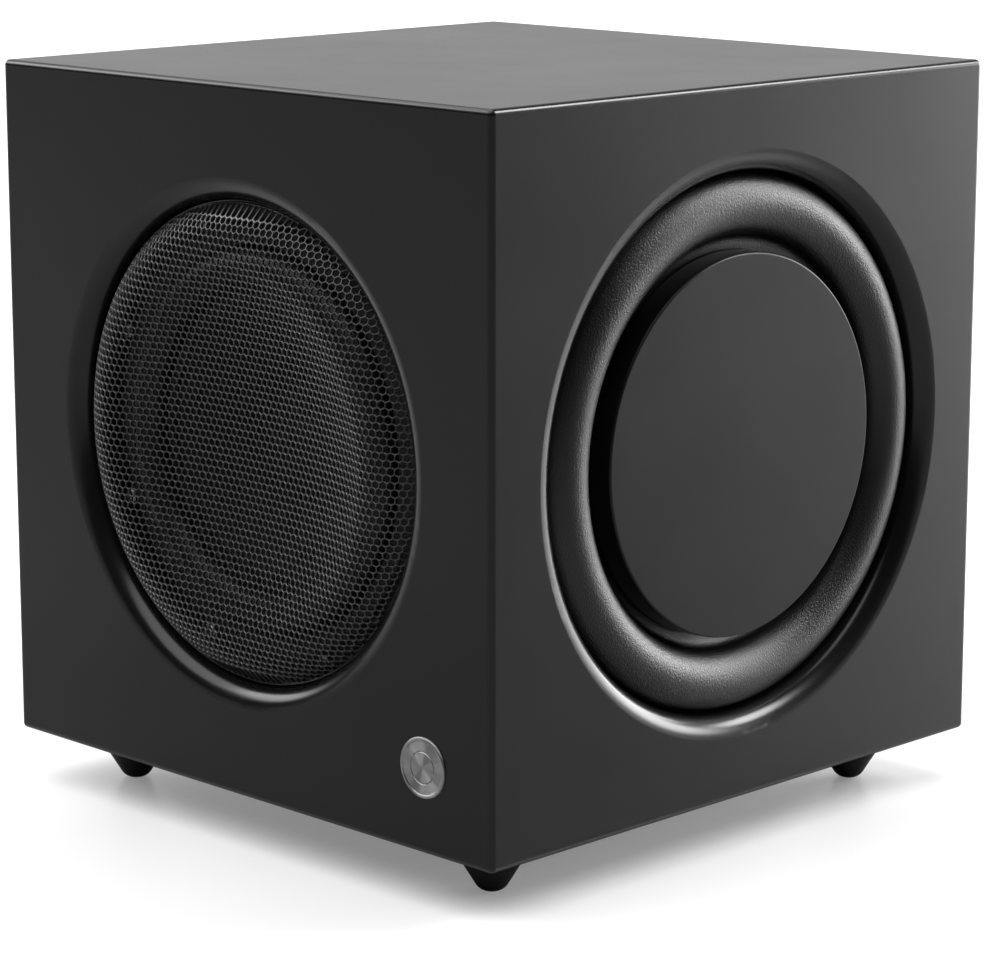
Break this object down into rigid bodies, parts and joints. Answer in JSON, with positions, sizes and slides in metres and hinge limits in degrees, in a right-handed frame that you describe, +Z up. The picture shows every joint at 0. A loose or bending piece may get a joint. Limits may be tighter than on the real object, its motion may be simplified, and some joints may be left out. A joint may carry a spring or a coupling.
{
  "type": "subwoofer",
  "caption": "Compact cube subwoofer with a dished perforated grille in front, a flat-disc passive radiator on one side, cone feet and a powered rear panel.",
  "frame": {"origin": "on the floor, under the middle of the cabinet", "axes": "+Z up; the grille faces -Y, the passive radiator faces +X and the amplifier panel faces +Y"},
  "size_m": [0.25, 0.253, 0.269],
  "materials": {
    "lacquer": "satin black lacquer",
    "bare_board": "bare fibreboard",
    "foot_rubber": "smooth moulded rubber",
    "roll_rubber": "satin butyl rubber",
    "gasket_foam": "closed-cell foam",
    "grille_steel": "powder coat over perforated steel",
    "spun_metal": "spun face",
    "cast_frame": "black textured coat",
    "cone_paper": "pressed black paper",
    "former_paper": "kapton-brown paper",
    "coil_wire": "enamelled copper",
    "spider_cloth": "resin-treated cloth",
    "motor_steel": "zinc plated",
    "ferrite": "ground ferrite",
    "disc_paint": "satin black paint",
    "cone_plastic": "moulded",
    "zinc_steel": "bright zinc",
    "black_screws": "black oxide",
    "panel_plastic": "fine spark texture",
    "knob_plastic": "satin",
    "switch_plastic": "polished",
    "pot_body": "tinned",
    "jack_nickel": "nickel plate",
    "jack_plastic": "white and red moulding",
    "board_laminate": "green solder mask",
    "heat_sink_metal": "extruded",
    "capacitor_sleeve": "shrink sleeve",
    "transformer_tape": "yellow tape over ferrite",
    "led_lens": "clear lens",
    "lead_sleeve": "soft sleeve",
    "wadding_fibre": "polyester wadding"
  },
  "bodies": {
    "cabinet": {"amp_gasket": "gasket_foam", "amp_panel": "panel_plastic", "amp_screws": "black_screws", "amplifier_board": "board_laminate", "back_panel": "lacquer", "baffle_doubler": "bare_board", "board_standoffs": "zinc_steel", "bottom_panel": "lacquer", "control_board": "board_laminate", "control_pots": "pot_body", "damping_wadding": "wadding_fibre", "foot_front_left": "foot_rubber", "foot_front_right": "foot_rubber", "foot_rear_left": "foot_rubber", "foot_rear_right": "foot_rubber", "foot_studs": "zinc_steel", "front_badge": "spun_metal", "front_baffle": "lacquer", "glue_battens": "bare_board", "grille_mesh": "grille_steel", "grille_ring": "grille_steel", "heat_sink": "heat_sink_metal", "inlet_pins": "jack_nickel", "left_panel": "lacquer", "magnet_back_plate": "motor_steel", "magnet_ring": "ferrite", "magnet_top_plate": "motor_steel", "mains_inlet": "switch_plastic", "radiator_frame": "cast_frame", "radiator_screws": "zinc_steel", "radiator_spider": "spider_cloth", "radiator_surround": "roll_rubber", "rca_insulators": "jack_plastic", "rca_shells": "jack_nickel", "right_baffle": "lacquer", "rocker_bezel": "switch_plastic", "speaker_leads": "lead_sleeve", "status_led": "led_lens", "supply_capacitors": "capacitor_sleeve", "supply_transformer": "transformer_tape", "tinsel_leads": "coil_wire", "top_panel": "lacquer", "woofer_basket": "cast_frame", "woofer_gasket": "gasket_foam", "woofer_screws": "zinc_steel", "woofer_spider": "spider_cloth", "woofer_surround": "roll_rubber", "woofer_terminals": "panel_plastic"},
    "woofer_moving": {"woofer_cone": "cone_paper", "dust_cap": "cone_paper", "coil_former": "former_paper", "voice_coil": "coil_wire"},
    "radiator_moving": {"radiator_disc": "disc_paint", "radiator_cone": "cone_plastic", "tuning_mass": "zinc_steel", "mass_bolt": "zinc_steel"},
    "volume_control": {"volume_knob": "knob_plastic"},
    "crossover_control": {"crossover_knob": "knob_plastic"},
    "phase_control": {"phase_slider": "knob_plastic"},
    "power_control": {"power_rocker": "switch_plastic"}
  },
  "joints": [
    {"name": "woofer_stroke", "type": "slide", "parent": "cabinet", "child": "woofer_moving", "axis": [0, -1, 0], "range_m": [-0.0065, 0.0065], "stiffness_N_per_m": 2900, "deforming": ["woofer_surround", "woofer_spider", "tinsel_leads"]},
    {"name": "radiator_stroke", "type": "slide", "parent": "cabinet", "child": "radiator_moving", "axis": [1, 0, 0], "range_m": [-0.01, 0.01], "stiffness_N_per_m": 1500, "deforming": ["radiator_surround", "radiator_spider"]},
    {"name": "volume_turn", "type": "hinge", "parent": "cabinet", "child": "volume_control", "pos_m": [0.042, 0.12, 0.182], "axis": [0, 1, 0], "range_deg": [-150, 150]},
    {"name": "crossover_turn", "type": "hinge", "parent": "cabinet", "child": "crossover_control", "pos_m": [0.008, 0.12, 0.182], "axis": [0, 1, 0], "range_deg": [-150, 150]},
    {"name": "phase_slide", "type": "slide", "parent": "cabinet", "child": "phase_control", "axis": [-1, 0, 0], "range_m": [0, 0.0035]},
    {"name": "power_rock", "type": "hinge", "parent": "cabinet", "child": "power_control", "pos_m": [0.038, 0.114, 0.1], "axis": [1, 0, 0], "range_deg": [0, 12]}
  ]
}
